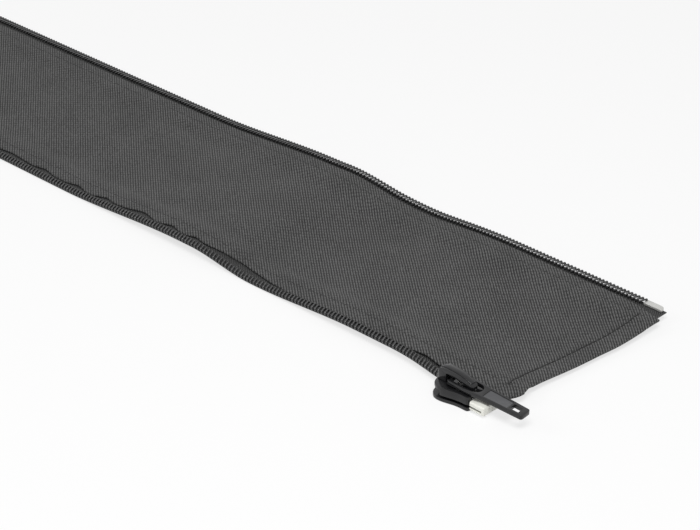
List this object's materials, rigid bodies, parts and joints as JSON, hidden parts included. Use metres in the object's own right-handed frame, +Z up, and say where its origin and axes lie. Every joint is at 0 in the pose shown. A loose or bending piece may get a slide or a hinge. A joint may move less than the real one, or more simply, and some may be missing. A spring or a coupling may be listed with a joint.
{
  "type": "zippered cable sleeve",
  "caption": "Flat woven cable sleeve, open along one side, with an open-end coil zipper: slider with pull tab, retainer box and insertion pin.",
  "frame": {"origin": "bottom centre of the whole, under the middle of its bounding box", "axes": "+X along the sleeve to the end with the slider, +Y across it away from the slider, +Z up"},
  "size_m": [1.0121, 0.1234, 0.014],
  "materials": {
    "cloth": "twill weave, matt with a faint sheen",
    "tape": "woven tape, matt",
    "coil": "satin nylon",
    "lacquer": "glossy black lacquer",
    "spring_steel": "plain",
    "pale_metal": "satin, pale"
  },
  "bodies": {
    "sleeve": {"fabric_panel": "cloth", "near_tape": "tape", "far_tape": "tape", "near_coil": "coil", "far_coil": "coil", "near_pin": "pale_metal", "far_pin": "pale_metal", "retainer_box": "pale_metal", "near_top_stop": "lacquer", "far_top_stop": "lacquer"},
    "slider": {"slider_body": "lacquer", "slider_cap": "lacquer", "lock_spring": "spring_steel"},
    "tab": {"pull_tab": "lacquer"}
  },
  "joints": [
    {"name": "slider_slide", "type": "slide", "parent": "sleeve", "child": "slider", "axis": [-1, 0.004, 0], "range_m": [0, 0.956], "deforming": ["near_tape", "near_coil"]},
    {"name": "pull_tab_hinge", "type": "hinge", "parent": "slider", "child": "tab", "pos_m": [0.46701, -0.05434, 0.00925], "axis": [0.0405, -0.9978, -0.0522], "range_deg": [0, 175]}
  ]
}
